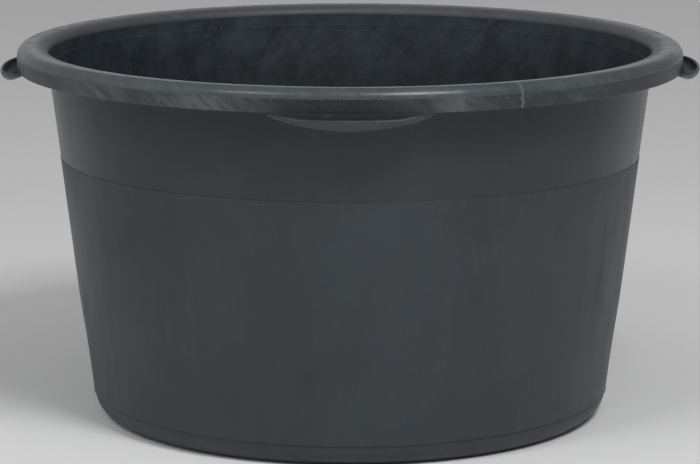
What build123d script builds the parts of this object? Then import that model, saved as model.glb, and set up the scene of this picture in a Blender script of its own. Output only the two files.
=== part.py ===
from build123d import *
import math
import os

# Round mortar mixing tub of about 90 litres, injection moulded in polyethylene.
# Millimetres, +Z up, origin on the ground at the middle of the footprint.
# The real tub is a single moulding. It is built here as the regions that have a job of
# their own, each one a closed solid that meets its neighbours face to face.

# ---- driving dimensions ----
HEIGHT = 381.0            # ground to the crown of the rim
RIM_RADIUS = 340.0        # outside of the skirt that hangs from the rim
WALL = 3.0                # wall thickness, measured radially
BASE = 3.5                # thickness of the floor of the tub

# rim: a flange in three tangent arcs over a rounded mouth, and a skirt that hangs outside
CROWN_RADIUS = 330.0            # where the flange is highest
OUTER_ROUND = RIM_RADIUS - CROWN_RADIUS
CROWN_ROUND = 66.0              # radius of the dome between the crown and the mouth
MOUTH_ROUND = 8.0               # radius of the rounded edge of the mouth
MOUTH_RADIUS = 308.0            # inside of the collar just below that edge
SKIRT_BOTTOM = HEIGHT - 23.7

# wall: a collar above the stacking shoulder, an upper wall and a lower wall
SHOULDER_HEIGHT = 360.0         # stacking shoulder inside the mouth
SHOULDER_WIDTH = 1.8
COLLAR_FLARE = 1.4              # the collar opens this much towards the mouth
BEAD_BOTTOM = 353.0             # outside thickening that backs the shoulder
BEAD_FLARE = 0.8                # the inside opens this much between the bead and the shoulder
WAIST_HEIGHT = 267.0            # fine ledge round the outside of the wall
WAIST_LEDGE = 0.3               # the lower wall stands out this much past the upper wall
UPPER_WALL_BOTTOM_RADIUS = 297.0
UPPER_WALL_TOP_RADIUS = 307.6   # outside radius at BEAD_BOTTOM

# foot: a fine ledge, a rounded heel and a raised middle
FOOT_HEIGHT = 23.0              # fine ledge above the heel
FOOT_LEDGE = 0.3                # the heel stands out this much past the lower wall
HEEL_ROUND = 22.0
HEEL_RADIUS = 265.0             # outside radius where the rounded heel begins
HEEL_DRAFT = 0.3                # the inside opens this much between the round and the wall
TREAD_INNER_RADIUS = 228.0      # inner edge of the ring that touches the ground
BASE_RADIUS = 222.0             # the flat middle of the floor
BASE_RAISE = 1.5                # the middle stands this far off the ground

# the lower wall tapers in three slightly different bands: (height, outside radius)
LOWER_WALL_OUTSIDE = [
    (FOOT_HEIGHT, 266.2),
    (64.0, 271.2),
    (121.0, 279.7),
    (WAIST_HEIGHT, UPPER_WALL_BOTTOM_RADIUS + WAIST_LEDGE),
]

# grips: four open troughs that hang from the skirt, a quarter turn apart
# (angle, neck between the skirt and the level of the free edge, depth below that edge)
GRIPS = {
    "front_grip": (-90.0, 3.2, 12.6),
    "right_grip": (0.0, 0.5, 13.5),
    "rear_grip": (90.0, 3.2, 12.6),
    "left_grip": (180.0, 0.5, 13.5),
}
GRIP_HALF_ANGLE = 13.4          # half of the arc that one grip covers
GRIP_REACH = 17.0               # how far the free edge stands out from the skirt
GRIP_WALL = 2.6
GRIP_STRAIGHT = 0.15            # part of the depth where the legs are straight
GRIP_LEDGE = 0.3                # the trough is this much thicker than its neck, on each side
GRIP_SECTIONS = [-0.97, -0.85, -0.6, -0.3, 0.0, 0.3, 0.6, 0.85, 0.97]
POCKET_SECTIONS = [-0.88, -0.75, -0.55, -0.28, 0.0, 0.28, 0.55, 0.75, 0.88]
POCKET_LIFT = 1.0               # the pocket is cut from this far above the free edge

# webs: thin gussets inside the rim, one at each end of each grip
WEB_ANGLE = 0.5                 # thickness of a web as an angle, about 2.8 mm
WEB_OFFSET = 17.6               # from the middle of a grip to a web
WEB_BOTTOM = 362.0

# sprue mark under the middle of the base
GATE_RADIUS = 11.0
GATE_DEPTH = 0.8

# ---- corners that the collar, the flange, the skirt and the webs share ----
MOUTH_CENTRE = MOUTH_RADIUS + MOUTH_ROUND
MOUTH_SLOPE = math.degrees(math.asin((CROWN_RADIUS - MOUTH_CENTRE) / (CROWN_ROUND - MOUTH_ROUND)))
DOME_CENTRE = HEIGHT - CROWN_ROUND
COLLAR_TOP = DOME_CENTRE + (CROWN_ROUND - MOUTH_ROUND) * math.cos(math.radians(MOUTH_SLOPE))
COLLAR_BOTTOM_INSIDE = MOUTH_RADIUS - COLLAR_FLARE
SKIRT_TOP = HEIGHT - OUTER_ROUND
SKIRT_INSIDE = RIM_RADIUS - WALL


def revolved(*edges):
    """Turn an outline drawn as (radius, height) once round the tub's axis."""
    return revolve(Plane.XZ * make_face(Wire(edges)), Axis.Z)


def outline(*points):
    """Straight edges through the points, open at the end."""
    return [Line(a, b) for a, b in zip(points, points[1:])]


def base_plate():
    """Flat middle of the floor."""
    disc = Cylinder(BASE_RADIUS, BASE, align=(Align.CENTER, Align.CENTER, Align.MIN))
    return Pos(0, 0, BASE_RAISE) * disc


def gate_boss():
    """Low round mark where the plastic was injected, under the middle."""
    boss = Cylinder(GATE_RADIUS, GATE_DEPTH, align=(Align.CENTER, Align.CENTER, Align.MAX))
    return Pos(0, 0, BASE_RAISE) * boss


def heel_ring():
    """Ring that touches the ground, with the rounded heel and the foot ledge."""
    band_top = LOWER_WALL_OUTSIDE[0][1] + FOOT_LEDGE
    inside_top = LOWER_WALL_OUTSIDE[0][1] - WALL
    heel_centre = HEEL_RADIUS - HEEL_ROUND
    inner_round = HEEL_ROUND - WALL
    inner_centre = (inside_top - HEEL_DRAFT - inner_round, BASE + inner_round)
    raised_edge = TREAD_INNER_RADIUS - BASE_RAISE
    edges = [
        Line((band_top, FOOT_HEIGHT), (HEEL_RADIUS, HEEL_ROUND)),
        CenterArc((heel_centre, HEEL_ROUND), HEEL_ROUND, 0, -90),
        *outline(
            (heel_centre, 0),
            (TREAD_INNER_RADIUS, 0),
            (raised_edge, BASE_RAISE),
            (BASE_RADIUS, BASE_RAISE),
            (BASE_RADIUS, BASE_RAISE + BASE),
            (raised_edge, BASE_RAISE + BASE),
            (TREAD_INNER_RADIUS, BASE),
            (inner_centre[0], BASE),
        ),
        CenterArc(inner_centre, inner_round, -90, 90),
        *outline(
            (inside_top - HEEL_DRAFT, inner_centre[1]),
            (inside_top, FOOT_HEIGHT),
            (band_top, FOOT_HEIGHT),
        ),
    ]
    return revolved(*edges)


def lower_wall():
    """Wall from the foot to the waist, in three bands of slightly different taper."""
    outside = [(radius, height) for height, radius in LOWER_WALL_OUTSIDE]
    inside = [(radius - WALL, height) for radius, height in reversed(outside)]
    return revolved(*outline(*outside, *inside, outside[0]))


def upper_wall():
    """Wall from the waist to the stacking shoulder, with the bead that backs it."""
    shoulder_inside = UPPER_WALL_TOP_RADIUS - WALL + BEAD_FLARE
    corners = [
        (UPPER_WALL_BOTTOM_RADIUS, WAIST_HEIGHT),
        (UPPER_WALL_TOP_RADIUS, BEAD_BOTTOM),
        (shoulder_inside + SHOULDER_WIDTH + WALL, SHOULDER_HEIGHT),
        (shoulder_inside, SHOULDER_HEIGHT),
        (UPPER_WALL_BOTTOM_RADIUS - WALL, WAIST_HEIGHT),
    ]
    return revolved(*outline(*corners, corners[0]))


def mouth_collar():
    """Short flared band between the stacking shoulder and the rounded mouth."""
    corners = [
        (COLLAR_BOTTOM_INSIDE, SHOULDER_HEIGHT),
        (COLLAR_BOTTOM_INSIDE + WALL, SHOULDER_HEIGHT),
        (MOUTH_RADIUS + WALL, COLLAR_TOP),
        (MOUTH_RADIUS, COLLAR_TOP),
    ]
    return revolved(*outline(*corners, corners[0]))


def flange_arcs(inset=0):
    """The flange from the mouth over the crown to the top of the skirt, or its underside."""
    return [
        CenterArc((MOUTH_CENTRE, COLLAR_TOP), MOUTH_ROUND - inset, 180, MOUTH_SLOPE - 90),
        CenterArc((CROWN_RADIUS, DOME_CENTRE), CROWN_ROUND - inset, 90 + MOUTH_SLOPE, -MOUTH_SLOPE),
        CenterArc((CROWN_RADIUS, SKIRT_TOP), OUTER_ROUND - inset, 90, -90),
    ]


def rim_flange():
    """Domed top of the rim with the rounded mouth and the rounded outer edge."""
    edges = [
        *flange_arcs(),
        Line((RIM_RADIUS, SKIRT_TOP), (SKIRT_INSIDE, SKIRT_TOP)),
        *flange_arcs(WALL),
        Line((MOUTH_RADIUS + WALL, COLLAR_TOP), (MOUTH_RADIUS, COLLAR_TOP)),
    ]
    return revolved(*edges)


def rim_skirt():
    """Vertical skirt round the outside of the rim, in eight arcs that meet at the webs."""
    corners = [
        (SKIRT_INSIDE, SKIRT_BOTTOM),
        (RIM_RADIUS, SKIRT_BOTTOM),
        (RIM_RADIUS, SKIRT_TOP),
        (SKIRT_INSIDE, SKIRT_TOP),
    ]
    section = Plane.XZ * make_face(Wire(outline(*corners, corners[0])))
    beside_grip = revolve(section, Axis.Z, 2 * WEB_OFFSET)
    between_grips = revolve(section, Axis.Z, 90 - 2 * WEB_OFFSET)
    arcs = []
    for middle, _, _ in GRIPS.values():
        arcs.append(Rot(0, 0, middle - WEB_OFFSET) * beside_grip)
        arcs.append(Rot(0, 0, middle + WEB_OFFSET) * between_grips)
    return Compound(arcs)


def trough_section(place, top, inner_radius, reach, depth, lift=0):
    """Section of a trough at one angle: short straight legs over a half-elliptical bottom."""
    straight = depth * GRIP_STRAIGHT
    half_width = reach / 2
    middle = inner_radius + half_width
    low = top - straight
    edges = outline(
        (middle + half_width, low),
        (middle + half_width, top + lift),
        (middle - half_width, top + lift),
        (middle - half_width, low),
    )
    edges.append(EllipticalCenterArc((middle, low), half_width, depth - straight, 180, arc_size=180))
    return Rot(0, 0, place * GRIP_HALF_ANGLE) * (Plane.XZ * make_face(Wire(edges)))


def grip_reach(place):
    """How far the trough stands out at a place from -1 to 1 along the grip."""
    return GRIP_REACH * (1 - place**4)


def grip_depth(place, depth):
    """How deep the trough hangs at a place from -1 to 1 along the grip."""
    return depth * (1 - place**2)


def grip(neck_height, depth):
    """Open trough that carries on from the lower edge of the skirt, at angle zero."""
    free_edge = SKIRT_BOTTOM - neck_height
    trough_inside = SKIRT_INSIDE - GRIP_LEDGE
    pocket_inside = RIM_RADIUS + GRIP_LEDGE
    trough_base = RIM_RADIUS - trough_inside
    pocket_loss = GRIP_WALL + GRIP_LEDGE
    body = loft([
        trough_section(s, free_edge, trough_inside, trough_base + grip_reach(s),
                       grip_depth(s, depth))
        for s in GRIP_SECTIONS
    ])
    pocket = loft([
        trough_section(s, free_edge, pocket_inside, grip_reach(s) - pocket_loss,
                       grip_depth(s, depth) - GRIP_WALL, lift=POCKET_LIFT)
        for s in POCKET_SECTIONS
    ])
    neck_angle = POCKET_SECTIONS[-1] * GRIP_HALF_ANGLE
    neck_corners = [
        (SKIRT_INSIDE, free_edge),
        (RIM_RADIUS, free_edge),
        (RIM_RADIUS, SKIRT_BOTTOM),
        (SKIRT_INSIDE, SKIRT_BOTTOM),
    ]
    neck_face = make_face(Wire(outline(*neck_corners, neck_corners[0])))
    neck = revolve(Plane.XZ * neck_face, Axis.Z, 2 * neck_angle)
    return body - pocket + Rot(0, 0, -neck_angle) * neck


def rim_webs():
    """Gussets inside the rim, one beside each end of each grip."""
    collar_corner = (COLLAR_BOTTOM_INSIDE + WALL, SHOULDER_HEIGHT)
    edges = [
        Line(collar_corner, (MOUTH_RADIUS + WALL, COLLAR_TOP)),
        *flange_arcs(WALL),
        Line((SKIRT_INSIDE, SKIRT_TOP), (SKIRT_INSIDE, WEB_BOTTOM)),
        Line((SKIRT_INSIDE, WEB_BOTTOM), collar_corner),
    ]
    web = revolve(Plane.XZ * make_face(Wire(edges)), Axis.Z, WEB_ANGLE)
    return Compound([
        Rot(0, 0, middle + side * WEB_OFFSET - WEB_ANGLE / 2) * web
        for middle, _, _ in GRIPS.values()
        for side in (-1, 1)
    ])


parts = {
    "base_plate": base_plate(),
    "gate_boss": gate_boss(),
    "heel_ring": heel_ring(),
    "lower_wall": lower_wall(),
    "upper_wall": upper_wall(),
    "mouth_collar": mouth_collar(),
    "rim_flange": rim_flange(),
    "rim_skirt": rim_skirt(),
    "rim_webs": rim_webs(),
}
for name, (angle, neck_height, depth) in GRIPS.items():
    parts[name] = Rot(0, 0, angle) * grip(neck_height, depth)

os.makedirs("parts", exist_ok=True)
for name, solid in parts.items():
    export_step(solid, f"parts/{name}.step")

# capacity to the brim, from the inside outline, as a check on the size
litres = 0.0
inside_outline = [
    (BASE_RAISE + BASE, HEEL_RADIUS - HEEL_ROUND),
    *((height, radius - WALL) for height, radius in LOWER_WALL_OUTSIDE),
    (SHOULDER_HEIGHT, UPPER_WALL_TOP_RADIUS - WALL + BEAD_FLARE),
    (HEIGHT, MOUTH_RADIUS),
]
for (z0, r0), (z1, r1) in zip(inside_outline, inside_outline[1:]):
    frustum = math.pi * (z1 - z0) * (r0 * r0 + r0 * r1 + r1 * r1) / 3
    litres += frustum / 1e6
print(f"capacity to the brim {litres:.1f} litres")
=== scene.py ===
import math

import bmesh
import bpy
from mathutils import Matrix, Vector, noise


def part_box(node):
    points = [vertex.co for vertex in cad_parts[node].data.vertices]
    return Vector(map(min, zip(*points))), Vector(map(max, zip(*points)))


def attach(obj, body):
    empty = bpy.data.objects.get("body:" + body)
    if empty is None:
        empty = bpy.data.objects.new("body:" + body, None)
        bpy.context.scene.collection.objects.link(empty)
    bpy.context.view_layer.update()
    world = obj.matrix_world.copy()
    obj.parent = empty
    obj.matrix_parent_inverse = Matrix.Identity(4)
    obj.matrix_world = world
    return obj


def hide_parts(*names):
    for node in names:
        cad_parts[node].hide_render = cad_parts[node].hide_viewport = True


# A round mortar mixing tub, moulded in dark slate-grey polyethylene. Every CAD node is
# replaced by a finer mesh of the same size. Metres, +Z up, origin on the ground.

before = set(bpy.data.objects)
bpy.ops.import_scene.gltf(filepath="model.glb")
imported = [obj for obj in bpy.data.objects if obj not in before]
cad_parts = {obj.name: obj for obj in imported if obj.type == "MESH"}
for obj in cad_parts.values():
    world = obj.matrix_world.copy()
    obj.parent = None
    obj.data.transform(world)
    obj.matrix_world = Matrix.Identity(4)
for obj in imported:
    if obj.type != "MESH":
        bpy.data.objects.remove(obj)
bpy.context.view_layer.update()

MM = 0.001
BODY = "root"

# ---- camera ----
CAMERA_DISTANCE = 3.255         # from the tub's axis, along -Y
CAMERA_HEIGHT = 0.8065          # above the floor
CAMERA_PITCH = 10.86            # degrees below the horizon
CAMERA_LENS = 164.6             # millimetres
SENSOR_WIDTH = 36.0             # millimetres
CLIP_END = 60.0

# ---- floor and light ----
FLOOR_HALF = 20.0
FLOOR_COLOUR = (0.93, 0.93, 0.93, 1.0)
SKY_COLOUR = (1.0, 1.0, 1.0, 1.0)
SKY_PATCHES = [                 # (direction, sharpness, strength)
    ((0, 1, 0), 6.0, 0.54),
    ((-1, 0, 0), 1.5, 0.63),
    ((1, 0, 0), 1.5, 0.22),
    ((0, 0, 1), 4.0, 0.26),
    ((0, -1, 1), 4.0, 0.36),
]
SOFTBOX_TARGET = (0, 0, 0.3)
SOFTBOX_DISTANCE = 3.2
SOFTBOXES = {                   # (azimuth, elevation, size, watts); azimuth 0 is the camera's side
    "left_softbox": (-38, 42, 0.8, 13),
    "right_softbox": (27, 46, 0.9, 46),
}

# ---- colours and gloss ----
SLATE = (0.0352, 0.0428, 0.0490)
DEEP_SLATE = (0.0235, 0.0315, 0.0395)
DUST = (0.140, 0.152, 0.160)
PALE_DUST = (0.230, 0.245, 0.260)
WALL_GLOSS = 0.33               # specular level of the walls and the skirt
RIM_GLOSS = 0.38                # of the top of the rim
GRIP_GLOSS = 0.5
UNDER_RIM_PAINTED_SHADE = 0.75           # painted shade: the outside's colour is multiplied by this under the rim,
UNDER_RIM_SHADE_FADE = 70.0 * MM      # and by more, up to one, over this height below it
INSIDE_PAINTED_SHADE = 0.62              # painted shade, the same for the inside, from this height below the shoulder
INSIDE_SHADE_FADE = 80.0 * MM

# ---- sizes read from the frame ----
FLANGE_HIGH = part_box("rim_flange")[1]
SKIRT_LOW, SKIRT_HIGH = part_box("rim_skirt")
COLLAR_LOW, COLLAR_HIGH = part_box("mouth_collar")
UPPER_LOW, UPPER_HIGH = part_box("upper_wall")
LOWER_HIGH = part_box("lower_wall")[1]
HEEL_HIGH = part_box("heel_ring")[1]
PLATE_LOW, PLATE_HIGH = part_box("base_plate")
GATE_LOW, GATE_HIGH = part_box("gate_boss")
GRIP_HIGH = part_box("right_grip")[1]

RIM_TOP = FLANGE_HIGH.z
RIM_RADIUS = SKIRT_HIGH.x
SKIRT_TOP = SKIRT_HIGH.z
SKIRT_BOTTOM = SKIRT_LOW.z
COLLAR_TOP = COLLAR_HIGH.z
SHOULDER = COLLAR_LOW.z
WAIST = UPPER_LOW.z
FOOT = HEEL_HIGH.z

# ---- wall and rim section ----
WALL = 3.0 * MM
MOUTH_ROUND = 8.0 * MM
CROWN_ROUND = 66.0 * MM         # the dome of the rim between its crown and the mouth
OUTER_ROUND = RIM_TOP - SKIRT_TOP
PARTING_STEP = 0.2 * MM         # the skirt stands out this much below the outer round
COLLAR_FLARE = 1.4 * MM
BEAD_HEIGHT = 7.0 * MM          # the outside thickens over this height below the shoulder
BEAD_STEP = 2.6 * MM
SHOULDER_INSIDE = 4.8 * MM      # from the bead's outside to the inside of the shoulder
EDGE_ROUND = 0.8 * MM           # on the lower edge of the skirt
LEDGE_ROUND = 0.4 * MM          # on the fine ledges of the waist and the foot
WAIST_LEDGE = 0.5 * MM
LEAST_GAP = 0.02 * MM           # points of an outline are kept this far apart
LOWER_BANDS = [(FOOT, 266.2 * MM), (64.0 * MM, 271.2 * MM), (121.0 * MM, 279.7 * MM)]
BAND_BLEND = 9.0 * MM           # half of the height over which one band turns into the next

MOUTH_RADIUS = COLLAR_HIGH.x - WALL
MOUTH_CENTRE = MOUTH_RADIUS + MOUTH_ROUND
CROWN_RADIUS = RIM_RADIUS - OUTER_ROUND
SKIRT_INSIDE = RIM_RADIUS - WALL
MOUTH_SLOPE = math.degrees(math.asin((CROWN_RADIUS - MOUTH_CENTRE) / (CROWN_ROUND - MOUTH_ROUND)))

# ---- heel and base ----
HEEL_ROUND = 22.0 * MM
HEEL_RADIUS = 265.0 * MM
HEEL_DRAFT = 0.3 * MM           # how far the inside leans out between the heel and the foot ledge
FOOT_OVERLAP = 0.5 * MM         # how far the foot's ledge runs in under the lower wall
TREAD_INNER = 228.0 * MM
TREAD_BEVEL = PLATE_LOW.z       # the middle of the base stands this far off the ground
BASE_THICKNESS = PLATE_HIGH.z - PLATE_LOW.z
PLATE_RINGS = 12
SPRUE_RADIUS = 2.2 * MM
SPRUE_DEPTH = 0.4 * MM          # of the groove round the sprue's stub
SPRUE_BEVEL = 0.15 * MM
GATE_ROUND = 0.5 * MM

# ---- grips: (angle, neck, depth, rise of the outer edge) ----
GRIPS = {
    "front_grip": (-90.0, 3.2 * MM, 12.6 * MM, 0.0),
    "right_grip": (0.0, 0.5 * MM, 13.5 * MM, 2.4 * MM),
    "rear_grip": (90.0, 3.2 * MM, 12.6 * MM, 0.0),
    "left_grip": (180.0, 0.5 * MM, 13.5 * MM, 0.0),
}
GRIP_HALF_ANGLE = 13.4
GRIP_REACH = GRIP_HIGH.x - RIM_RADIUS
GRIP_WALL = 2.6 * MM
GRIP_INSET = 0.2 * MM           # between the grip's own surfaces and the skirt's
GRIP_LEAST = 0.05 * MM          # smallest reach and depth, and the overlap with the skirt
GRIP_STRAIGHT = 0.15            # part of the depth where the legs are straight
GRIP_TIP = 0.995                # where the end sections lie, with the tip at 1
GRIP_STEPS = 144
BODY_STEPS = 30
POCKET_STEPS = 22
POCKET_START = 2                # the first point of a grip's section that bounds the pocket
GRIP_SHARP = 50                 # degrees between faces that meet in a sharp edge

# ---- webs under the rim ----
WEB_ANGLE = 0.5                 # thickness, in degrees round the tub
WEB_OFFSET = 17.6               # degrees from the middle of a grip
WEB_BOTTOM = SKIRT_BOTTOM + 4.7 * MM
WEB_ROUND = 0.5 * MM

# ---- marks and unevenness of the moulding; angles and their widths in degrees ----
SEGMENTS = 600                  # even steps round the tub
MARK_HALF_WIDTH = 1.4           # each side of a mark that gets finer steps
MARK_STEP = 0.1
STILL_HEIGHT = 2.0 * MM         # nothing moves below this, so the tub stands flat
SLOW_WOBBLE = 0.35 * MM
QUICK_WOBBLE = 0.10 * MM
WOBBLE_INSET = 0.2 * MM         # moves the wobble inwards as a whole
RIPPLE = 0.12 * MM              # on the top of the rim
WELD_ANGLE = -61.7
WELD_WIDTH = 0.22
WELD_HEIGHT = 0.5 * MM
WELD_WANDER = [(0.25, 0.9), (0.1, 2.3)]     # (degrees, radians per millimetre of height)
WELD_WAVE = 7.0 * MM            # how far the pale line of the weld could wander, side to side
WELD_LINE = (0.5 * MM, 2.4 * MM)    # half widths where the line is whole and where it is gone
SINK_ANGLES = (-17.6, -162.4, 17.6, 162.4)
SINK_WIDTH = 0.35
SINK_DEPTH = 0.35 * MM
NICK_ANGLE = 156.0
NICK_WIDTH = 0.4
NICK_OFFSET = 4.0 * MM          # from the crown of the rim towards its outer edge
NICK_LENGTH = 4.0 * MM
NICK_DEPTH = 1.1 * MM
FRONT_PAINTED_SHADE = (-91.6, 19.0)    # (angle, half width) of painted shade on the front of the skirt
# (angle, half width) of painted sheen: pale patches on the skirt, streaked by its flow marks
PAINTED_SHEEN_PATCHES = [(-137.0, 14.0), (-115.0, 14.0), (-73.0, 5.0)]


# ---------------------------------------------------------------- outlines

def arc(centre, radius, start, end, steps):
    """Points of an arc from start to end, in degrees."""
    angles = [math.radians(start + (end - start) * i / steps) for i in range(steps + 1)]
    return [(centre[0] + radius * math.cos(a), centre[1] + radius * math.sin(a)) for a in angles]


def straight(a, b, steps):
    """Evenly spaced points from a to b."""
    return [(a[0] + (b[0] - a[0]) * i / steps, a[1] + (b[1] - a[1]) * i / steps)
            for i in range(steps + 1)]


def joined(*runs):
    """One list of points, with no point twice in a row."""
    points = []
    for run in runs:
        for point in run:
            if not points or math.dist(points[-1], point) > LEAST_GAP:
                points.append(point)
    return points


def lower_radius(height):
    """Outside radius of the lower wall, with its bands blended into each other."""
    bands = LOWER_BANDS + [(WAIST, LOWER_HIGH.x)]

    def bare(z):
        z = min(max(z, bands[0][0]), bands[-1][0])
        for (z0, r0), (z1, r1) in zip(bands, bands[1:]):
            if z <= z1:
                return r0 + (r1 - r0) * (z - z0) / (z1 - z0)
        return bands[-1][1]

    near_end = min(height - bands[0][0], bands[-1][0] - height)
    blend = min(BAND_BLEND, max(near_end, 0.0))
    return (bare(height - blend) + 2 * bare(height) + bare(height + blend)) / 4


def heel_outline():
    """Outside and inside of the heel ring."""
    centre = HEEL_RADIUS - HEEL_ROUND
    inner_round = HEEL_ROUND - WALL
    inside_top = LOWER_BANDS[0][1] - WALL
    floor = BASE_THICKNESS
    corner = (HEEL_HIGH.x - LEDGE_ROUND, FOOT - LEDGE_ROUND)
    inner_centre = (inside_top - HEEL_DRAFT - inner_round, floor + inner_round)
    outside = joined(
        [(LOWER_BANDS[0][1] - FOOT_OVERLAP, FOOT)],
        arc(corner, LEDGE_ROUND, 90, 0, 5),
        [(HEEL_RADIUS, HEEL_ROUND)],
        arc((centre, HEEL_ROUND), HEEL_ROUND, 0, -90, 28),
        straight((centre, 0), (TREAD_INNER, 0), 2),
        straight((TREAD_INNER - TREAD_BEVEL, TREAD_BEVEL), (PLATE_HIGH.x, TREAD_BEVEL), 2),
    )
    inside = joined(
        straight((PLATE_HIGH.x, PLATE_HIGH.z), (TREAD_INNER - TREAD_BEVEL, PLATE_HIGH.z), 2),
        straight((TREAD_INNER, floor), (inner_centre[0], floor), 2),
        arc(inner_centre, inner_round, -90, 0, 24),
        [(inside_top, FOOT)],
    )
    return outside, inside


def lower_wall_outline():
    """Outside and inside of the lower wall, with the rounded ledge of the waist."""
    rows = 26
    heights = [FOOT + (WAIST - LEDGE_ROUND - FOOT) * i / rows for i in range(rows + 1)]
    corner = (LOWER_HIGH.x - LEDGE_ROUND, WAIST - LEDGE_ROUND)
    outside = joined([(lower_radius(z), z) for z in heights], arc(corner, LEDGE_ROUND, 0, 90, 5))
    inside = [(lower_radius(z) - WALL, z) for z in reversed(heights)]
    inside[0] = (inside[0][0], WAIST)
    return outside, inside


def upper_wall_outline():
    """Outside and inside of the upper wall, with the bead that backs the shoulder."""
    bead_low = (UPPER_HIGH.x - BEAD_STEP, SHOULDER - BEAD_HEIGHT)
    bottom = LOWER_HIGH.x - WAIST_LEDGE
    inner_top = UPPER_HIGH.x - SHOULDER_INSIDE
    shoulder_edge = (inner_top + LEDGE_ROUND, SHOULDER - LEDGE_ROUND)
    outside = joined(
        straight((bottom, WAIST), bead_low, 12),
        straight(bead_low, (UPPER_HIGH.x, SHOULDER), 4),
    )
    inside = joined(
        [(MOUTH_RADIUS, SHOULDER)],
        arc(shoulder_edge, LEDGE_ROUND, 90, 180, 4),
        straight((inner_top, SHOULDER - 2 * LEDGE_ROUND), (bottom - WALL, WAIST), 12),
    )
    return outside, inside


def collar_outline():
    """Outside and inside of the flared band above the shoulder."""
    bottom = MOUTH_RADIUS - COLLAR_FLARE
    outside = straight((bottom + WALL, SHOULDER), (MOUTH_RADIUS + WALL, COLLAR_TOP), 3)
    inside = straight((MOUTH_RADIUS, COLLAR_TOP), (bottom, SHOULDER), 3)
    return outside, inside


def flange_outline():
    """Top and underside of the rim, each in three tangent arcs."""
    dome_centre = (CROWN_RADIUS, RIM_TOP - CROWN_ROUND)
    outer = arc((CROWN_RADIUS, SKIRT_TOP), OUTER_ROUND, 90, 0, 22)
    top = joined(
        arc((MOUTH_CENTRE, COLLAR_TOP), MOUTH_ROUND, 180, 90 + MOUTH_SLOPE, 14),
        arc(dome_centre, CROWN_ROUND, 90 + MOUTH_SLOPE, 90, 10),
        [(r - PARTING_STEP * n / (len(outer) - 1), z) for n, (r, z) in enumerate(outer)],
    )
    below = joined(
        arc((CROWN_RADIUS, SKIRT_TOP), OUTER_ROUND - WALL, 0, 90, 10),
        arc(dome_centre, CROWN_ROUND - WALL, 90, 90 + MOUTH_SLOPE, 5),
        arc((MOUTH_CENTRE, COLLAR_TOP), MOUTH_ROUND - WALL, 90 + MOUTH_SLOPE, 180, 8),
    )
    return top, below


def skirt_outline():
    """Outside and inside of the skirt, with its fine upper step and rounded lower edge."""
    outer = (RIM_RADIUS - EDGE_ROUND, SKIRT_BOTTOM + EDGE_ROUND)
    inner = (SKIRT_INSIDE + EDGE_ROUND, SKIRT_BOTTOM + EDGE_ROUND)
    step = (RIM_RADIUS - PARTING_STEP, SKIRT_TOP - PARTING_STEP)
    outside = joined(
        arc(step, PARTING_STEP, 90, 0, 4),
        straight((RIM_RADIUS, step[1]), (RIM_RADIUS, outer[1]), 8),
        arc(outer, EDGE_ROUND, 0, -90, 6),
    )
    inside = joined(
        arc(inner, EDGE_ROUND, -90, -180, 6),
        straight((SKIRT_INSIDE, inner[1]), (SKIRT_INSIDE, SKIRT_TOP), 6),
    )
    return outside, inside


# ---------------------------------------------------------------- small unevenness

def bell(x):
    """A smooth bump of height one around zero."""
    return math.exp(-x * x)


def uneven(x, y, z):
    """Where a point of the ideal shape lies on the real, slightly uneven moulding."""
    radius = math.hypot(x, y)
    if radius < TREAD_INNER or z < STILL_HEIGHT:
        return x, y, z
    angle = math.degrees(math.atan2(y, x))
    slow = noise.noise(Vector((x * 7, y * 7, z * 3)))
    quick = noise.noise(Vector((x * 26 + 5, y * 26, z * 8)))
    shift = (SLOW_WOBBLE * slow + QUICK_WOBBLE * quick - WOBBLE_INSET) * min(z / RIM_TOP, 1.0)
    drop = 0.0
    if z > SKIRT_BOTTOM - 1 * MM and radius > MOUTH_RADIUS:
        along = (radius - MOUTH_RADIUS) / (RIM_RADIUS - MOUTH_RADIUS)
        wander = sum(size * math.sin(z / MM * waves) for size, waves in WELD_WANDER)
        weld = bell((angle - WELD_ANGLE - wander) / WELD_WIDTH)
        shift += WELD_HEIGHT * weld * min(max(along * 2 - 1.2, 0), 1)
        if z > SKIRT_TOP + 1 * MM:
            drop += SINK_DEPTH * sum(bell((angle - at) / SINK_WIDTH) for at in SINK_ANGLES)
            off_crown = (radius - CROWN_RADIUS - NICK_OFFSET) / NICK_LENGTH
            drop += NICK_DEPTH * bell((angle - NICK_ANGLE) / NICK_WIDTH) * bell(off_crown)
            drop += RIPPLE * (noise.noise(Vector((x * 40, y * 40, 2.0))) + 1)
    scale = 1 + shift / radius
    return x * scale, y * scale, z - drop


def spin_angles():
    """Even steps round the tub, with finer ones at each mark of the moulding."""
    angles = {round(-180 + 360 * i / SEGMENTS, 4) for i in range(SEGMENTS)}
    steps = round(MARK_HALF_WIDTH / MARK_STEP)
    for mark in (WELD_ANGLE, NICK_ANGLE, *SINK_ANGLES):
        angles |= {round(mark + i * MARK_STEP, 4) for i in range(-steps, steps + 1)}
    return [math.radians(a) for a in sorted(angles)]


ANGLES = spin_angles()


# ---------------------------------------------------------------- meshes

def finished(name, node, points, faces, materials, indices, sharp=38):
    """A closed smooth piece that stands for a CAD node, with edges above sharp degrees crisp."""
    mesh = bpy.data.meshes.new(name)
    mesh.from_pydata([uneven(*p) for p in points], [], faces)
    for material in materials:
        mesh.materials.append(material)
    mesh.polygons.foreach_set("material_index", indices)
    work = bmesh.new()
    work.from_mesh(mesh)
    bmesh.ops.recalc_face_normals(work, faces=work.faces)
    work.to_mesh(mesh)
    work.free()
    mesh.shade_smooth()
    mesh.set_sharp_from_angle(angle=math.radians(sharp))
    piece = bpy.data.objects.new(name, mesh)
    bpy.context.collection.objects.link(piece)
    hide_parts(node)
    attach(piece, BODY)
    return piece


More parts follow.
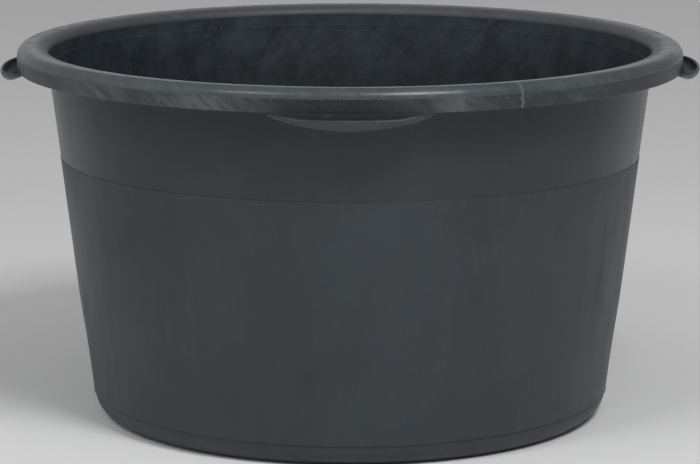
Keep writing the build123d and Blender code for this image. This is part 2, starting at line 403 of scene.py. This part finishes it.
def spun(node, outlines, outer_material, inner_material):
    """Turn a closed outline, given as an outer and an inner part, once round the axis."""
    outside, inside = outlines
    loop = outside + inside
    size = len(loop)
    points = [(r * math.cos(a), r * math.sin(a), z) for a in ANGLES for r, z in loop]
    faces, indices = [], []
    for j in range(len(ANGLES)):
        here, there = j * size, (j + 1) % len(ANGLES) * size
        for i in range(size):
            k = (i + 1) % size
            faces.append((here + i, here + k, there + k, there + i))
            indices.append(0 if i < len(outside) else 1)
    return finished(f"{node}_skin", node, points, faces,
                    [outer_material, inner_material], indices)


def turned_disc(node, rows, materials, first_inside):
    """A closed disc from rows of (radius, height), the first and last of them on the axis.

    The second material starts at the row numbered first_inside."""
    ring_rows = rows[1:-1]
    size = len(ANGLES)
    points = [(0, 0, rows[0][1])]
    points += [(r * math.cos(a), r * math.sin(a), z) for r, z in ring_rows for a in ANGLES]
    points.append((0, 0, rows[-1][1]))
    faces, indices = [], []
    for j in range(size):
        k = (j + 1) % size
        faces.append((0, 1 + j, 1 + k))
        indices.append(0)
        for i in range(len(ring_rows) - 1):
            low, high = 1 + i * size, 1 + (i + 1) * size
            faces.append((low + j, high + j, high + k, low + k))
            indices.append(0 if i + 1 < first_inside else 1)
        last = 1 + (len(ring_rows) - 1) * size
        faces.append((last + j, len(points) - 1, last + k))
        indices.append(1)
    return finished(f"{node}_skin", node, points, faces, materials, indices)


def base_plate():
    """Flat middle of the base, seen from below and from inside the tub."""
    low, high, edge = PLATE_LOW.z, PLATE_HIGH.z, PLATE_HIGH.x
    radii = [edge * i / PLATE_RINGS for i in range(PLATE_RINGS + 1)]
    rows = [(r, low) for r in radii] + [(r, high) for r in reversed(radii)]
    return turned_disc("base_plate", rows, [OUTSIDE_LOW, INSIDE], len(radii))


def gate_boss():
    """Round mark of the sprue, with the stub where it was cut off."""
    low, high, edge = GATE_LOW.z, GATE_HIGH.z, GATE_HIGH.x
    rows = [(0, low), (SPRUE_RADIUS * 0.8, low), (SPRUE_RADIUS, low + SPRUE_BEVEL)]
    rows += [(SPRUE_RADIUS + 2 * SPRUE_BEVEL, low + SPRUE_DEPTH), (edge * 0.5, low + SPRUE_DEPTH)]
    rows += [(edge * 0.8, low + SPRUE_DEPTH / 4)]
    rows += arc((edge - GATE_ROUND, low + GATE_ROUND), GATE_ROUND, -90, 0, 6)
    rows += [(edge, high), (edge * 0.5, high), (0, high)]
    return turned_disc("gate_boss", rows, [OUTSIDE_LOW, OUTSIDE_LOW], len(rows))


def half_ellipse(inner, outer, low, drop, steps):
    """Lower half of an ellipse from its inner to its outer end, as (radius, height)."""
    middle, half = (inner + outer) / 2, (outer - inner) / 2
    turns = [math.pi + math.pi * i / steps for i in range(steps + 1)]
    return [(middle + half * math.cos(t), low + drop * math.sin(t)) for t in turns]


def grip_section(place, neck, depth, rise):
    """Closed section of a grip at a place from -1 to 1 along it, as (radius, height)."""
    fade = 1 - place**4
    reach = max(GRIP_REACH * fade, GRIP_LEAST)
    hang = max(depth * (1 - place**2), GRIP_LEAST)
    edge = SKIRT_BOTTOM - neck * fade
    overlap = SKIRT_BOTTOM + EDGE_ROUND
    outer = RIM_RADIUS + reach
    body_inner = SKIRT_INSIDE - GRIP_INSET * fade
    body_straight = hang * GRIP_STRAIGHT
    pocket_inner = RIM_RADIUS + GRIP_INSET * fade
    pocket_outer = max(outer - GRIP_WALL, pocket_inner + LEAST_GAP)
    pocket_hang = max(hang - GRIP_WALL, LEAST_GAP)
    pocket_straight = pocket_hang * GRIP_STRAIGHT
    lip = min(GRIP_WALL, outer - pocket_outer) / 2
    pocket = half_ellipse(pocket_inner, pocket_outer, edge - pocket_straight - 2 * LEAST_GAP,
                          pocket_hang - pocket_straight, POCKET_STEPS)
    body = half_ellipse(body_inner, outer, edge - max(body_straight, lip) - 3 * LEAST_GAP,
                        hang - body_straight, BODY_STEPS)
    points = [
        (RIM_RADIUS - GRIP_LEAST, overlap),
        (RIM_RADIUS, SKIRT_BOTTOM - LEAST_GAP),
        (pocket_inner, edge - LEAST_GAP),
        *pocket,
        *arc((outer - lip, edge - lip), lip, 180, 0, 8),
        *reversed(body),
        (body_inner, edge),
        (SKIRT_INSIDE + GRIP_LEAST, overlap),
    ]
    return [(r, z + max(r - RIM_RADIUS, 0) / GRIP_REACH * rise) for r, z in points]


def grip(node):
    """Open trough that hangs from the skirt."""
    angle, neck, depth, rise = GRIPS[node]
    places = [-math.cos(math.pi * i / GRIP_STEPS) * GRIP_TIP for i in range(GRIP_STEPS + 1)]
    sections = [grip_section(place, neck, depth, rise) for place in places]
    size = len(sections[0])
    points, faces, indices = [], [], []
    for place, section in zip(places, sections):
        turn = math.radians(angle + place * GRIP_HALF_ANGLE)
        points += [(r * math.cos(turn), r * math.sin(turn), z) for r, z in section]
    for i in range(GRIP_STEPS):
        here, there = i * size, (i + 1) * size
        for j in range(size):
            k = (j + 1) % size
            faces.append((here + j, here + k, there + k, there + j))
            # the pocket's faces take the second, darker material: painted shade in the hollow
            indices.append(1 if 0 <= j - POCKET_START < POCKET_STEPS else 0)
    faces.append(tuple(range(size)))
    faces.append(tuple(GRIP_STEPS * size + j for j in reversed(range(size))))
    return finished(f"{node}_skin", node, points, faces,
                    [GRIP_PLASTIC, POCKET_SHADE_PLASTIC], indices + [0, 0], GRIP_SHARP)


def rim_webs():
    """Eight thin gussets under the flange, each with a rounded lower edge."""
    collar_low = (MOUTH_RADIUS - COLLAR_FLARE + WALL, SHOULDER)
    section = joined([(SKIRT_INSIDE, WEB_BOTTOM)], flange_outline()[1], [collar_low])
    size = len(section)
    layers = [(-0.5, WEB_ROUND), (-0.25, 0), (0.25, 0), (0.5, WEB_ROUND)]
    points, faces = [], []
    for centre in [middle + side * WEB_OFFSET for middle, *_ in GRIPS.values() for side in (-1, 1)]:
        first = len(points)
        for part, inset in layers:
            turn = math.radians(centre + part * WEB_ANGLE)
            for n, (r, z) in enumerate(section):
                z += inset if n in (0, size - 1) else 0
                points.append((r * math.cos(turn), r * math.sin(turn), z))
        last = first + (len(layers) - 1) * size
        for here in range(first, last, size):
            for j in range(size):
                k = (j + 1) % size
                faces.append((here + j, here + k, here + size + k, here + size + j))
        faces.append(tuple(range(first, first + size)))
        faces.append(tuple(reversed(range(last, last + size))))
    return finished("rim_webs_skin", "rim_webs", points, faces,
                    [SKIRT_PLASTIC], [0] * len(faces))


# ---------------------------------------------------------------- materials

class Nodes:
    """Short ways to build a node tree."""

    def __init__(self, tree):
        self.tree = tree

    def add(self, kind, inputs=None, **settings):
        """A node with its settings, and with each input set to a value or linked."""
        made = self.tree.nodes.new(kind)
        for key, value in settings.items():
            setattr(made, key, value)
        for key, value in (inputs or {}).items():
            self.feed(made.inputs[key], value)
        return made

    def feed(self, socket, value):
        """Link the socket to another one, or set it to a value."""
        if isinstance(value, bpy.types.NodeSocket):
            self.tree.links.new(value, socket)
        else:
            socket.default_value = value

    def maths(self, operation, a, b=0.0):
        return self.add("ShaderNodeMath", {0: a, 1: b}, operation=operation).outputs[0]

    def dot(self, a, b):
        inputs = {0: a, 1: b}
        return self.add("ShaderNodeVectorMath", inputs, operation="DOT_PRODUCT").outputs["Value"]


class Shading(Nodes):
    """The node tree of one material. Positions are those of the object, in metres."""

    def __init__(self, name):
        self.material = bpy.data.materials.new(name)
        self.material.use_nodes = True
        super().__init__(self.material.node_tree)
        self.surface = self.tree.nodes["Principled BSDF"]
        self.position = self.add("ShaderNodeTexCoord").outputs["Object"]

    def scaled(self, vector, scale):
        """The vector with each part times its own factor."""
        inputs = {0: vector, 1: scale}
        return self.add("ShaderNodeVectorMath", inputs, operation="MULTIPLY").outputs[0]

    def height(self, vector):
        return self.add("ShaderNodeSeparateXYZ", {0: vector}).outputs["Z"]

    def twisted(self, vector, turn):
        """The vector turned about the axis by an angle that grows with height."""
        inputs = {"Vector": vector, "Angle": self.maths("MULTIPLY", self.height(vector), turn)}
        return self.add("ShaderNodeVectorRotate", inputs, rotation_type="Z_AXIS").outputs[0]

    def noise(self, vector, scale, detail, rough, warp=0.0):
        """Fractal noise. Three scales in place of one stretch it along the axes."""
        if isinstance(scale, tuple):
            vector, scale = self.scaled(vector, scale), 1.0
        inputs = {"Vector": vector, "Scale": scale, "Detail": detail,
                  "Roughness": rough, "Distortion": warp}
        return self.add("ShaderNodeTexNoise", inputs).outputs["Fac"]

    def ranged(self, value, low, high, out_low=0.0, out_high=1.0):
        """The value stretched from one range to another, with soft ends."""
        inputs = {"Value": value, "From Min": low, "From Max": high,
                  "To Min": out_low, "To Max": out_high}
        made = self.add("ShaderNodeMapRange", inputs, interpolation_type="SMOOTHSTEP")
        return made.outputs["Result"]

    def near_angle(self, angle, half_width):
        """One at an angle round the tub, in degrees, that fades to zero on both sides of it."""
        parts = self.add("ShaderNodeSeparateXYZ", {0: self.position}).outputs
        turn = self.maths("ARCTAN2", parts["Y"], parts["X"])
        off = self.maths("ABSOLUTE", self.maths("SUBTRACT", turn, math.radians(angle)))
        return self.ranged(off, 0.0, math.radians(half_width), 1.0, 0.0)

    def painted_shade(self, colour, dark_height, plain_height, factor):
        """Painted shade: the colour times the factor at one height, which fades to the plain colour at
        another.
        """
        low, high = sorted([(dark_height, factor), (plain_height, 1.0)])
        tone = self.ranged(self.height(self.position), low[0], high[0], low[1], high[1])
        return self.scaled(colour, tone)

    def tinted(self, colour, factor, other):
        """The colour where the factor is 0, and the other where it is 1."""
        inputs = {0: factor, 6: colour, 7: other}
        return self.add("ShaderNodeMix", inputs, data_type="RGBA").outputs[2]

    def bumped(self, height, distance, strength, normal=None):
        """The normal bent by a height, on top of another normal if there is one."""
        inputs = {"Height": height, "Distance": distance, "Strength": strength}
        if normal is not None:
            inputs["Normal"] = normal
        return self.add("ShaderNodeBump", inputs).outputs["Normal"]

    def finish(self, colour, roughness, normal, gloss):
        """Feed the surface and return the material."""
        self.feed(self.surface.inputs["Base Color"], colour)
        self.feed(self.surface.inputs["Roughness"], roughness)
        self.feed(self.surface.inputs["Normal"], normal)
        self.surface.inputs["IOR"].default_value = 1.5
        self.surface.inputs["Specular IOR Level"].default_value = gloss
        return self.material


def shade(colour, factor):
    """The colour made lighter or darker, with full alpha."""
    return (colour[0] * factor, colour[1] * factor, colour[2] * factor, 1.0)


def wall_plastic(name, tone, rough_low, rough_high, scuffing):
    """Outside of the wall: slow clouds, faint vertical streaks, soft smudges, fine scuffs, painted
    shade.
    """
    s = Shading(name)
    clouds = s.noise(s.position, 6.0, detail=4.0, rough=0.6)
    streaks = s.noise(s.position, (75, 75, 3), detail=3.0, rough=0.6)
    smudges = s.noise(s.position, (15, 15, 7), detail=5.0, rough=0.65, warp=0.5)
    mottle = s.noise(s.position, 160.0, detail=3.0, rough=0.6)
    grain = s.noise(s.position, 900.0, detail=2.0, rough=0.6)
    scuffs = s.noise(s.position, (90, 90, 30), detail=5.0, rough=0.7, warp=0.3)
    patches = s.noise(s.position, 9.0, detail=3.0, rough=0.55, warp=0.4)
    colour = s.tinted(shade(SLATE, tone * 0.9), s.ranged(clouds, 0.3, 0.7), shade(SLATE, tone * 1.12))
    colour = s.tinted(colour, s.ranged(streaks, 0.45, 0.8, 0.0, 0.25), shade(SLATE, tone * 1.4))
    colour = s.tinted(colour, s.ranged(smudges, 0.55, 0.75, 0.0, 0.35), shade(SLATE, tone * 0.55))
    colour = s.tinted(colour, s.ranged(mottle, 0.5, 0.8, 0.0, 0.25), shade(SLATE, tone * 1.6))
    marks = s.maths("MULTIPLY", s.ranged(scuffs, 0.5, 0.75), s.ranged(patches, 0.5, 0.7))
    colour = s.tinted(colour, s.maths("MULTIPLY", marks, scuffing), shade(DUST, 0.7))
    # painted shade: darker just under the rim, fading out lower down
    colour = s.painted_shade(colour, SKIRT_BOTTOM, SKIRT_BOTTOM - UNDER_RIM_SHADE_FADE, UNDER_RIM_PAINTED_SHADE)
    rough = s.ranged(smudges, 0.3, 0.7, rough_low, rough_high)
    rough = s.maths("ADD", rough, s.maths("MULTIPLY", marks, 0.1))
    normal = s.bumped(grain, 0.05 * MM, 0.5)
    normal = s.bumped(clouds, 1.2 * MM, 0.12, normal)
    return s.finish(colour, rough, normal, WALL_GLOSS)


def inside_plastic(name):
    """Inside of the tub: marbled and smudged, with a few wipes, a thin cement haze and painted shade."""
    s = Shading(name)
    clouds = s.noise(s.position, 22.0, detail=8.0, rough=0.7, warp=0.6)
    patches = s.noise(s.position, 5.0, detail=3.0, rough=0.55)
    wipes = s.noise(s.twisted(s.position, 2.6), (55, 55, 22), detail=7.0, rough=0.68, warp=1.8)
    streaks = s.noise(s.position, (60, 60, 7), detail=4.0, rough=0.62, warp=0.5)
    mottle = s.noise(s.position, 95.0, detail=5.0, rough=0.65, warp=0.8)
    grain = s.noise(s.position, 700.0, detail=2.0, rough=0.6)
    colour = s.tinted(shade(DEEP_SLATE, 0.75), s.ranged(clouds, 0.3, 0.72), shade(DEEP_SLATE, 1.55))
    haze = s.maths("MULTIPLY", s.ranged(wipes, 0.48, 0.72), s.ranged(patches, 0.4, 0.6))
    colour = s.tinted(colour, s.maths("MULTIPLY", haze, 0.3), shade(DUST, 0.65))
    colour = s.tinted(colour, s.ranged(streaks, 0.52, 0.78, 0.0, 0.22), shade(DUST, 0.5))
    colour = s.tinted(colour, s.ranged(mottle, 0.5, 0.72, 0.0, 0.3), shade(DUST, 0.5))
    # painted shade: darker deep in the tub, plain at the shoulder
    colour = s.painted_shade(colour, SHOULDER - INSIDE_SHADE_FADE, SHOULDER, INSIDE_PAINTED_SHADE)
    rough = s.ranged(clouds, 0.3, 0.7, 0.4, 0.56)
    normal = s.bumped(grain, 0.08 * MM, 0.6)
    normal = s.bumped(clouds, 0.4 * MM, 0.2, normal)
    return s.finish(colour, rough, normal, WALL_GLOSS)


def weld_mask(s):
    """One on the pale wavy line where two streams of plastic met in the rim, zero elsewhere."""
    turn = math.radians(WELD_ANGLE)
    ahead = s.dot(s.position, (math.cos(turn), math.sin(turn), 0))
    beside = s.dot(s.position, (-math.sin(turn), math.cos(turn), 0))
    waves = s.noise(s.position, (0, 0, 170), detail=3.0, rough=0.6)
    offset = s.maths("MULTIPLY", s.maths("SUBTRACT", waves, 0.5), WELD_WAVE)
    distance = s.maths("ABSOLUTE", s.maths("ADD", beside, offset))
    line = s.ranged(distance, *WELD_LINE, 1.0, 0.0)
    return s.maths("MULTIPLY", line, s.maths("GREATER_THAN", ahead, CROWN_RADIUS))


def skirt_plastic(name):
    """Skirt of the rim: marbled leaning flow marks, pale smears, fine speckle, painted shade and sheen.
    """
    s = Shading(name)
    leaning = s.twisted(s.position, 3.2)
    flow = s.noise(leaning, (55, 55, 30), detail=8.0, rough=0.66, warp=2.2)
    smears = s.noise(leaning, (17, 17, 12), detail=6.0, rough=0.66, warp=1.4)
    lines = s.noise(leaning, (120, 120, 40), detail=5.0, rough=0.65, warp=1.6)
    speckle = s.noise(s.position, 330.0, detail=3.0, rough=0.65)
    grain = s.noise(s.position, 850.0, detail=2.0, rough=0.6)
    colour = s.tinted(shade(SLATE, 0.78), s.ranged(flow, 0.28, 0.74), shade(SLATE, 1.35))
    colour = s.tinted(colour, s.ranged(smears, 0.48, 0.72, 0.0, 0.35), shade(DUST, 0.8))
    colour = s.tinted(colour, s.ranged(lines, 0.5, 0.78, 0.0, 0.35), shade(SLATE, 0.55))
    # painted shade on the front of the skirt
    stretch = s.maths("MULTIPLY", s.near_angle(*FRONT_PAINTED_SHADE), 0.75)
    colour = s.tinted(colour, stretch, shade(SLATE, 0.35))
    # painted sheen: pale patches round the skirt, streaked by the flow marks
    for place in PAINTED_SHEEN_PATCHES:
        sheen = s.maths("MULTIPLY", s.near_angle(*place), s.ranged(flow, 0.1, 0.75))
        colour = s.tinted(colour, s.maths("MULTIPLY", sheen, 0.3), shade(PALE_DUST, 1.0))
    colour = s.tinted(colour, s.ranged(speckle, 0.56, 0.7, 0.0, 0.3), shade(DUST, 0.9))
    colour = s.tinted(colour, s.maths("MULTIPLY", weld_mask(s), 0.6), shade(DUST, 1.1))
    rough = s.ranged(flow, 0.3, 0.7, 0.3, 0.46)
    normal = s.bumped(grain, 0.07 * MM, 0.6)
    normal = s.bumped(flow, 0.25 * MM, 0.3, normal)
    return s.finish(colour, rough, normal, WALL_GLOSS)


def rim_top_plastic(name):
    """Top of the rim: dusty and mottled, polished by wear and duller towards the mouth."""
    s = Shading(name)
    mottle = s.noise(s.position, 60.0, detail=5.0, rough=0.62, warp=0.6)
    patches = s.noise(s.position, 12.0, detail=3.0, rough=0.55, warp=0.3)
    fine = s.noise(s.position, 230.0, detail=3.0, rough=0.6, warp=0.4)
    grain = s.noise(s.position, 900.0, detail=2.0, rough=0.6)
    colour = s.tinted(shade(SLATE, 1.2), s.ranged(patches, 0.3, 0.7), shade(SLATE, 1.5))
    colour = s.tinted(colour, s.ranged(mottle, 0.35, 0.75, 0.2, 0.44), shade(DUST, 0.95))
    colour = s.tinted(colour, s.ranged(fine, 0.58, 0.75, 0.0, 0.2), shade(SLATE, 0.6))
    colour = s.tinted(colour, s.maths("MULTIPLY", weld_mask(s), 0.5), shade(DUST, 1.1))
    level = s.scaled(s.position, (1, 1, 0))
    radius = s.add("ShaderNodeVectorMath", {0: level}, operation="LENGTH").outputs["Value"]
    dull = s.ranged(radius, MOUTH_CENTRE - 4 * MM, MOUTH_CENTRE + 8 * MM, 0.22, 0.0)
    rough = s.maths("ADD", s.ranged(mottle, 0.3, 0.7, 0.2, 0.34), dull)
    normal = s.bumped(grain, 0.07 * MM, 0.5)
    normal = s.bumped(fine, 0.2 * MM, 0.4, normal)
    return s.finish(colour, rough, normal, RIM_GLOSS)


def grip_plastic(name, tone):
    """Grips: softly clouded and finely mottled. A lower tone makes them darker."""
    s = Shading(name)
    clouds = s.noise(s.position, 22.0, detail=3.0, rough=0.55, warp=0.3)
    mottle = s.noise(s.position, 140.0, detail=3.0, rough=0.6, warp=0.5)
    grain = s.noise(s.position, 900.0, detail=2.0, rough=0.6)
    colour = s.tinted(shade(SLATE, tone * 0.95), s.ranged(clouds, 0.35, 0.65), shade(SLATE, tone * 1.35))
    colour = s.tinted(colour, s.ranged(mottle, 0.5, 0.75, 0.0, 0.3), shade(DUST, tone * 0.7))
    rough = s.ranged(mottle, 0.3, 0.7, 0.34, 0.48)
    normal = s.bumped(grain, 0.06 * MM, 0.5)
    normal = s.bumped(mottle, 0.15 * MM, 0.4, normal)
    return s.finish(colour, rough, normal, GRIP_GLOSS)


OUTSIDE_HIGH = wall_plastic("upper_wall_plastic", 0.9, 0.24, 0.34, 0.12)
OUTSIDE_LOW = wall_plastic("lower_wall_plastic", 1.08, 0.40, 0.52, 0.3)
INSIDE = inside_plastic("inside_plastic")
SKIRT_PLASTIC = skirt_plastic("skirt_plastic")
RIM_TOP_PLASTIC = rim_top_plastic("rim_top_plastic")
GRIP_PLASTIC = grip_plastic("grip_plastic", 0.88)
# a darker copy for the grips' pockets: painted shade in the hollows
POCKET_SHADE_PLASTIC = grip_plastic("grip_pocket_painted_shade", 0.8)


# ---------------------------------------------------------------- the tub

base_plate()
gate_boss()
spun("heel_ring", heel_outline(), OUTSIDE_LOW, INSIDE)
spun("lower_wall", lower_wall_outline(), OUTSIDE_LOW, INSIDE)
spun("upper_wall", upper_wall_outline(), OUTSIDE_HIGH, INSIDE)
spun("mouth_collar", collar_outline(), OUTSIDE_HIGH, INSIDE)
spun("rim_flange", flange_outline(), RIM_TOP_PLASTIC, SKIRT_PLASTIC)
spun("rim_skirt", skirt_outline(), SKIRT_PLASTIC, SKIRT_PLASTIC)
rim_webs()
for grip_name in GRIPS:
    grip(grip_name)


# ---------------------------------------------------------------- camera, floor and light

def add_camera():
    """The camera looks along +Y at the front grip, from a little above the rim."""
    data = bpy.data.cameras.new("camera")
    data.lens = CAMERA_LENS
    data.sensor_width = SENSOR_WIDTH
    data.clip_end = CLIP_END
    camera = bpy.data.objects.new("camera", data)
    camera.location = (0, -CAMERA_DISTANCE, CAMERA_HEIGHT)
    camera.rotation_euler = (math.radians(90 - CAMERA_PITCH), 0, 0)
    bpy.context.collection.objects.link(camera)
    bpy.context.scene.camera = camera


def add_floor():
    """A plain pale floor."""
    corners = [(x * FLOOR_HALF, y * FLOOR_HALF, 0) for x, y in ((-1, -1), (1, -1), (1, 1), (-1, 1))]
    mesh = bpy.data.meshes.new("floor")
    mesh.from_pydata(corners, [], [(0, 1, 2, 3)])
    floor = bpy.data.objects.new("floor", mesh)
    bpy.context.collection.objects.link(floor)
    material = bpy.data.materials.new("floor_paper")
    material.use_nodes = True
    surface = material.node_tree.nodes["Principled BSDF"]
    surface.inputs["Base Color"].default_value = FLOOR_COLOUR
    surface.inputs["Roughness"].default_value = 0.9
    surface.inputs["Specular IOR Level"].default_value = 0.0
    mesh.materials.append(material)


def add_softbox(name, azimuth, elevation, size, power):
    """A square area light that points at the tub."""
    data = bpy.data.lights.new(name, "AREA")
    data.shape = "SQUARE"
    data.size = size
    data.energy = power
    lamp = bpy.data.objects.new(name, data)
    around, up = math.radians(azimuth), math.radians(elevation)
    away = Vector((math.sin(around) * math.cos(up), -math.cos(around) * math.cos(up), math.sin(up)))
    lamp.location = Vector(SOFTBOX_TARGET) + SOFTBOX_DISTANCE * away
    lamp.rotation_euler = away.to_track_quat("Z", "Y").to_euler()
    bpy.context.collection.objects.link(lamp)


def add_sky():
    """A studio lit by broad soft patches, each one brightest in its own direction."""
    world = bpy.data.worlds.new("studio")
    bpy.context.scene.world = world
    world.use_nodes = True
    nodes = Nodes(world.node_tree)
    direction = nodes.add("ShaderNodeTexCoord").outputs["Generated"]
    total = 0.0
    for centre, sharpness, strength in SKY_PATCHES:
        facing = nodes.maths("MAXIMUM", nodes.dot(direction, Vector(centre).normalized()), 0.0)
        glow = nodes.maths("POWER", facing, sharpness)
        total = nodes.maths("ADD", nodes.maths("MULTIPLY", glow, strength), total)
    background = world.node_tree.nodes["Background"]
    nodes.feed(background.inputs["Strength"], total)
    nodes.feed(background.inputs["Color"], SKY_COLOUR)


add_camera()
add_floor()
add_sky()
for softbox, settings in SOFTBOXES.items():
    add_softbox(softbox, *settings)
bpy.context.scene.view_settings.view_transform = "Standard"
